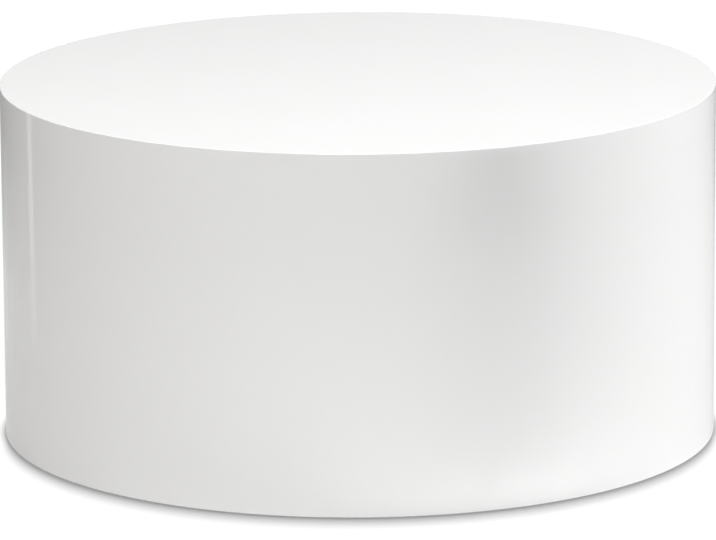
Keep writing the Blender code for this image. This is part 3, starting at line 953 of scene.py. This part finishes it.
def stem_shape(bottom, top, pitch):
    """A threaded stem: a round head held in the pad, a neck, a chamfered hexagon and the thread."""
    flat = HEX_ACROSS_FLATS / 2

    def hexagon(chamfer):
        def radius(angle):
            side = flat / math.cos((angle + math.pi / 6) % (math.pi / 3) - math.pi / 6)
            return min(side, flat * HEX_FACE_SHARE + chamfer)

        return radius

    def worm(height):
        end = min(1.0, (top - height) / STEM_CHAMFER)

        def radius(angle):
            from_root = abs(2 * thread_turn(height, angle, pitch) - 1)
            crest = min(1.0, max(0.0, from_root * STEM_FLANK_SLOPE - STEM_ROOT_FLAT))
            full = STEM_ROOT_RADIUS + (STEM_RADIUS - STEM_ROOT_RADIUS) * crest
            return min(full, STEM_RADIUS - STEM_CHAMFER * (1 - end))

        return radius

    rings = [
        (bottom, 0),
        (bottom, STEM_HEAD_RADIUS - STEM_EASE),
        (bottom + STEM_EASE, STEM_HEAD_RADIUS),
        (STEM_HEAD_TOP - STEM_EASE, STEM_HEAD_RADIUS),
        (STEM_HEAD_TOP, STEM_HEAD_RADIUS - STEM_EASE),
        (STEM_HEAD_TOP, STEM_ROOT_RADIUS),
        (HEX_BOTTOM, STEM_ROOT_RADIUS),
    ]
    rise = [HEX_CHAMFER * i / HEX_CHAMFER_ROWS for i in range(HEX_CHAMFER_ROWS + 1)]
    rings += [(HEX_BOTTOM + h, hexagon(h * HEX_CHAMFER_SLOPE)) for h in rise]
    rings += [(HEX_TOP - h, hexagon(h * HEX_CHAMFER_SLOPE)) for h in reversed(rise)]
    rows = int((top - HEX_TOP) / pitch * THREAD_ROWS)
    heights = [HEX_TOP + (top - HEX_TOP) * i / rows for i in range(rows + 1)]
    rings += [(height, worm(height)) for height in heights]
    rings.append((top, 0))
    return revolved(rings, STEM_STEPS)


class DRUM_OT_levelling_stems(bpy.types.Operator):
    """Make the threaded stems of the levelling feet"""

    bl_idname = "drum.levelling_stems"
    bl_label = "Levelling Stems"

    def execute(self, context):
        low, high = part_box("levelling_stem_1")
        shape = stem_shape(low.z, high.z, context.scene.drum_sizes.stem_pitch)
        mesh = mesh_of("levelling_stem", shape, [finish(zinc_plate)])
        for number in FEET:
            node = f"levelling_stem_{number}"
            foot = Matrix.Translation((*middle(node), 0))
            piece(f"{node}_threaded", mesh, f"stem_{number}", [node], foot)
        return {"FINISHED"}


def pad_shape(radius, height, flutes):
    """A swivel pad: a dished cone round a socket, with fluted sides and a groove round its sole."""

    def fluted(full):
        def at(angle):
            return full - PAD_FLUTE_DEPTH * (0.5 + 0.5 * math.cos(flutes * angle)) ** 2

        return at

    fine = PAD_FINE_EASE
    slope = []
    for i in range(1, PAD_SLOPE_ROWS):
        share = i / PAD_SLOPE_ROWS
        dish = PAD_DISH * math.sin(math.pi * share)
        across = PAD_COLLAR_RADIUS + (radius - PAD_COLLAR_RADIUS) * share
        slope.append((height + (PAD_RIM_HEIGHT - height) * share - dish, across))
    groove = zip((0, SOLE_GROOVE_DEPTH, SOLE_GROOVE_DEPTH, 0), SOLE_GROOVE)
    rings = [
        (PAD_SOCKET_FLOOR, 0),
        (PAD_SOCKET_FLOOR, PAD_SOCKET_RADIUS),
        (PAD_SOCKET_ROOF, PAD_SOCKET_RADIUS),
        (PAD_SOCKET_ROOF, PAD_MOUTH_RADIUS),
        *arc(PAD_MOUTH_RADIUS + fine, height - fine, fine, 180, 90, PAD_BEND_STEPS),
        *arc(PAD_COLLAR_RADIUS - fine, height - fine, fine, 90, 30, PAD_BEND_STEPS),
        *slope,
        *((h, fluted(r)) for h, r in arc(radius - fine, PAD_RIM_HEIGHT - fine, fine, 60, 0, PAD_BEND_STEPS)),
        *((h, fluted(r)) for h, r in arc(radius - PAD_EASE, PAD_EASE, PAD_EASE, 0, -60, PAD_FOOT_STEPS)),
        (0, radius - PAD_EASE),
        *((depth, radius * share) for depth, share in groove),
        (0, 0),
    ]
    return revolved(rings, PAD_STEPS)


class DRUM_OT_foot_pads(bpy.types.Operator):
    """Make the swivel pads of the levelling feet"""

    bl_idname = "drum.foot_pads"
    bl_label = "Foot Pads"

    def execute(self, context):
        low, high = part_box("foot_pad_1")
        shape = pad_shape((high.x - low.x) / 2, high.z, context.scene.drum_sizes.pad_flutes)
        mesh = mesh_of("foot_pad", shape, [finish(black_nylon)])
        for number in FEET:
            node = f"foot_pad_{number}"
            foot = Matrix.Translation((*middle(node), 0))
            piece(f"{node}_moulded", mesh, f"pad_{number}", [node], foot)
        return {"FINISHED"}


# Studio


def out_at(bearing, distance):
    """A point on the floor at a bearing from the camera's side, turning to the right."""
    turn = math.radians(bearing)
    return Vector((distance * math.sin(turn), -distance * math.cos(turn), 0))


def soft_lamp(name, width, height, power, colour):
    """A rectangular soft lamp that the camera doesn't see."""
    data = bpy.data.lights.new(name, "AREA")
    data.shape = "RECTANGLE"
    data.size, data.size_y = width, height
    data.energy = power * bpy.context.scene.drum_studio.lamp_level
    data.color = colour
    lamp = new_object(name, data)
    lamp.visible_camera = False
    return lamp


def hang_lamp(name, bearing, elevation, distance, width, height, power, colour):
    """A soft lamp that looks at the drum."""
    lamp = soft_lamp(name, width, height, power, colour)
    rise = math.radians(elevation)
    lamp.location = LAMP_AIM + out_at(bearing, distance * math.cos(rise))
    lamp.location.z += distance * math.sin(rise)
    lamp.rotation_euler = (LAMP_AIM - lamp.location).to_track_quat("-Z", "Y").to_euler()
    return lamp


def hang_lamps():
    """All the lamps. Gloss doesn't show the fills and the cards, and only gloss shows the glint."""
    for name, settings in LAMPS.items():
        hang_lamp(name, *settings)
    for name, settings in FILLS.items():
        hang_lamp(name, *settings).visible_glossy = False
    glint = hang_lamp("glint_lamp", *GLINT)
    glint.visible_diffuse = False
    for name, (bearing, distance, width, depth, power) in CARDS.items():
        card = soft_lamp(name, width, depth, power, WHITE)
        card.visible_glossy = False
        card.location = out_at(bearing, distance)
        card.location.z = CARD_HEIGHT
        card.rotation_euler = (math.pi, 0, math.radians(bearing))


def seen_rays(tree):
    """1 for rays that show the background: the camera's, and those that gloss or glass sends on."""
    path = add(tree, "ShaderNodeLightPath").outputs
    plain = calc(tree, "ADD", path["Is Camera Ray"], path["Is Glossy Ray"])
    return calc(tree, "ADD", plain, path["Is Transmission Ray"], clamp=True)


def from_axis(tree):
    """Distance of a place on the floor from the drum's axis."""
    made = add(tree, "ShaderNodeVectorMath", {"operation": "LENGTH"})
    feed(tree, object_place(tree), made.inputs[0])
    return made.outputs["Value"]


def foot_glow_level(tree):
    """Light that the floor close to the wall sends back to its foot, more at the right."""
    close = remap(tree, from_axis(tree), (DRUM_RADIUS, DRUM_RADIUS + FOOT_GLOW_WIDTH), (1.0, 0.0))
    level = remap(tree, axes(tree, object_place(tree))[0], (-DRUM_RADIUS, DRUM_RADIUS), FOOT_GLOW)
    return calc(tree, "MULTIPLY", close, level)


def gloss_floor_level(tree):
    """Brightness of the floor in the drum's gloss: dimmer farther out, and different from side to side."""
    out = remap(tree, from_axis(tree), GLOSS_REACH)
    across, back, _ = axes(tree, object_place(tree))
    near = remap(tree, across, GLOSS_SIDES, GLOSS_NEAR)
    bearing = calc(tree, "ARCTAN2", across, calc(tree, "MULTIPLY", back, -1.0))
    ramp = add(tree, "ShaderNodeValToRGB", Fac=remap(tree, bearing, (-math.pi, math.pi)))
    stops = ramp.color_ramp.elements
    for turn, level in GLOSS_FAR.items():
        stops.new(turn / 360 + 0.5).color = opaque(WHITE, level)
    stops.remove(stops[0])
    stops.remove(stops[-1])
    far = ramp.outputs["Color"]
    return calc(tree, "MULTIPLY_ADD", out, calc(tree, "SUBTRACT", far, near), near)


def shadow_reach(tree, studio):
    """Width of the floor's soft shadow: full in front of the drum and behind it, and narrow at its sides."""
    place = object_place(tree)
    aside = add(tree, "ShaderNodeVectorMath", {"operation": "NORMALIZE"})
    feed(tree, place, aside.inputs[0])
    ahead = calc(tree, "ABSOLUTE", axes(tree, aside.outputs["Vector"])[1])
    return calc(tree, "MULTIPLY", calc(tree, "MAXIMUM", ahead, SHADOW_SIDE_SHARE), studio.shadow_reach)


def floor_material(studio):
    """A pale floor, white where the camera sees it but for the drum's soft shadow, and clear from below."""
    made, tree, surface = bare_material("studio_floor")
    path = add(tree, "ShaderNodeLightPath").outputs
    seen = calc(tree, "ADD", path["Is Camera Ray"], path["Is Glossy Ray"], clamp=True)
    colour = mix(tree, seen, opaque(studio.floor_colour), opaque(studio.floor_colour, FLOOR_SEEN_SHARE))
    matt = add(tree, "ShaderNodeBsdfDiffuse", Color=colour)
    reach = shadow_reach(tree, studio)
    sky = add(tree, "ShaderNodeAmbientOcclusion", {"samples": SHADOW_SAMPLES}, Distance=reach)
    hidden = calc(tree, "POWER", calc(tree, "SUBTRACT", 1.0, sky.outputs["AO"]), SHADOW_CURVE)
    lit = calc(tree, "MAXIMUM", calc(tree, "MULTIPLY_ADD", hidden, -SHADOW_DEPTH, 1.0), SHADOW_FLOOR)
    lift = calc(tree, "MULTIPLY", calc(tree, "MULTIPLY", path["Is Camera Ray"], studio.floor_lift), lit)
    foot = calc(tree, "MULTIPLY_ADD", path["Is Diffuse Ray"], foot_glow_level(tree), lift)
    strength = calc(tree, "MULTIPLY_ADD", path["Is Glossy Ray"], gloss_floor_level(tree), foot)
    glow = add(tree, "ShaderNodeEmission", Color=opaque(WHITE), Strength=strength)
    both = add(tree, "ShaderNodeAddShader")
    feed(tree, matt.outputs[0], both.inputs[0])
    feed(tree, glow.outputs[0], both.inputs[1])
    below = add(tree, "ShaderNodeMixShader")
    feed(tree, add(tree, "ShaderNodeNewGeometry").outputs["Backfacing"], below.inputs[0])
    feed(tree, both.outputs[0], below.inputs[1])
    feed(tree, add(tree, "ShaderNodeBsdfTransparent").outputs[0], below.inputs[2])
    feed(tree, below.outputs[0], surface)
    return made


def studio_world():
    """White where the background is seen, and almost no light of its own."""
    world = bpy.data.worlds.new("studio")
    world.use_nodes = True
    tree = world.node_tree
    sky = tree.nodes["Background"]
    sky.inputs["Color"].default_value = opaque(WHITE)
    feed(tree, remap(tree, seen_rays(tree), (0.0, 1.0), (AMBIENT_LEVEL, 1.0)), sky.inputs["Strength"])
    bpy.context.scene.world = world


def floor_disc(studio):
    """The floor, as one wide disc."""
    shape = bmesh.new()
    bmesh.ops.create_circle(shape, cap_ends=True, segments=FLOOR_STEPS, radius=FLOOR_RADIUS)
    mesh = bpy.data.meshes.new("studio_floor")
    shape.to_mesh(mesh)
    shape.free()
    mesh.materials.append(floor_material(studio))
    floor = new_object("studio_floor", mesh)


def stage_panel(name, corners, made, matrix=Matrix.Identity(4)):
    """A flat panel of the studio that the camera doesn't see and the matt light doesn't meet."""
    mesh = bpy.data.meshes.new(name)
    mesh.from_pydata(corners, [], [range(4)])
    mesh.materials.append(made)
    panel = new_object(name, mesh)
    panel.matrix_world = matrix
    panel.visible_camera = panel.visible_diffuse = panel.visible_transmission = False
    return panel


def gloss_strip():
    """The narrow panel whose reflection runs down the wall's left side."""
    made, tree, surface = bare_material("gloss_strip")
    glow = add(tree, "ShaderNodeEmission", Color=opaque(WHITE), Strength=STRIP_LEVEL)
    feed(tree, glow.outputs[0], surface)
    sideways = Vector((-STRIP_FOOT.y, STRIP_FOOT.x, 0)).normalized()
    half = sideways * STRIP_WIDTH / 2
    top = Vector((0, 0, STRIP_HEIGHT)) + sideways * STRIP_LEAN
    corners = [STRIP_FOOT - half, STRIP_FOOT + half, STRIP_FOOT + half + top, STRIP_FOOT - half + top]
    stage_panel("gloss_strip", corners, made).visible_shadow = False


def light_net():
    """The thin level net beside the top's edge, unseen, that shades the wall below it a little."""
    half = NET_WIDTH / 2
    made, tree, surface = bare_material("light_net")
    aside = calc(tree, "DIVIDE", axes(tree, object_place(tree))[0], half)
    inside = calc(tree, "SUBTRACT", 1.0, calc(tree, "MULTIPLY", aside, aside), clamp=True)
    shade = calc(tree, "MULTIPLY", calc(tree, "MULTIPLY", inside, inside), NET_SHADE)
    clear = add(tree, "ShaderNodeBsdfTransparent", Color=calc(tree, "SUBTRACT", 1.0, shade))
    feed(tree, clear.outputs[0], surface)
    near, far = (-distance for distance in NET_REACH)
    corners = [(-half, far, 0), (half, far, 0), (half, near, 0), (-half, near, 0)]
    turn = Matrix.Rotation(math.radians(NET_BEARING), 4, "Z")
    panel = stage_panel("light_net", corners, made, Matrix.Translation((0, 0, NET_HEIGHT)) @ turn)
    panel.visible_glossy = False


def photo_camera(studio):
    """The camera that took the photo, as its outlines give it."""
    data = bpy.data.cameras.new("camera")
    data.sensor_width = SENSOR_WIDTH
    data.lens = FOCAL_PIXELS / PHOTO_WIDTH * SENSOR_WIDTH
    data.clip_end = CAMERA_REACH
    camera = new_object("camera", data)
    camera.location = (0, -studio.eye_distance, studio.eye_height)
    turn = Matrix.Rotation(studio.eye_yaw, 4, "Z") @ Matrix.Rotation(math.pi / 2 - studio.eye_pitch, 4, "X")
    camera.rotation_euler = (turn @ Matrix.Rotation(studio.eye_roll, 4, "Z")).to_euler()
    bpy.context.scene.camera = camera


class DRUM_OT_studio(bpy.types.Operator):
    """Set up the white studio: floor, soft lamps and the photo's camera"""

    bl_idname = "drum.studio"
    bl_label = "Studio"

    def execute(self, context):
        studio = context.scene.drum_studio
        floor_disc(studio)
        studio_world()
        hang_lamps()
        gloss_strip()
        light_net()
        photo_camera(studio)
        context.scene.view_settings.view_transform = "Standard"
        return {"FINISHED"}


# Sidebar


class DRUM_PT_sidebar(bpy.types.Panel):
    """Lists the drum table's settings and pieces"""

    bl_label = "Drum Table"
    bl_idname = "DRUM_PT_sidebar"
    bl_space_type = "VIEW_3D"
    bl_region_type = "UI"
    bl_category = "Drum Table"

    def draw(self, context):
        for name, kind in GROUPS.items():
            box = self.layout.box()
            for label in kind.__annotations__:
                box.prop(getattr(context.scene, name), label)
        for operator in OPERATORS:
            self.layout.operator(operator.bl_idname)


GROUPS = {"drum_sizes": DrumSizes, "drum_finishes": DrumFinishes, "drum_studio": DrumStudio}
OPERATORS = (
    DRUM_OT_lacquered_top,
    DRUM_OT_lacquered_wall,
    DRUM_OT_plywood_rings,
    DRUM_OT_pine_frame,
    DRUM_OT_frame_screws,
    DRUM_OT_tee_nuts,
    DRUM_OT_levelling_stems,
    DRUM_OT_foot_pads,
    DRUM_OT_studio,
)
CLASSES = (*GROUPS.values(), *OPERATORS, DRUM_PT_sidebar)


def register():
    """Adds the classes and the settings."""
    for kind in CLASSES:
        bpy.utils.register_class(kind)
    for name, kind in GROUPS.items():
        setattr(bpy.types.Scene, name, bpy.props.PointerProperty(type=kind))


def unregister():
    """Takes the settings and the classes away."""
    for name in GROUPS:
        delattr(bpy.types.Scene, name)
    for kind in reversed(CLASSES):
        bpy.utils.unregister_class(kind)


def main():
    """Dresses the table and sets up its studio."""
    register()
    bpy.ops.drum.lacquered_top()
    bpy.ops.drum.lacquered_wall()
    bpy.ops.drum.plywood_rings()
    bpy.ops.drum.pine_frame()
    bpy.ops.drum.frame_screws()
    bpy.ops.drum.tee_nuts()
    bpy.ops.drum.levelling_stems()
    bpy.ops.drum.foot_pads()
    bpy.ops.drum.studio()


if __name__ == "__main__":
    main()
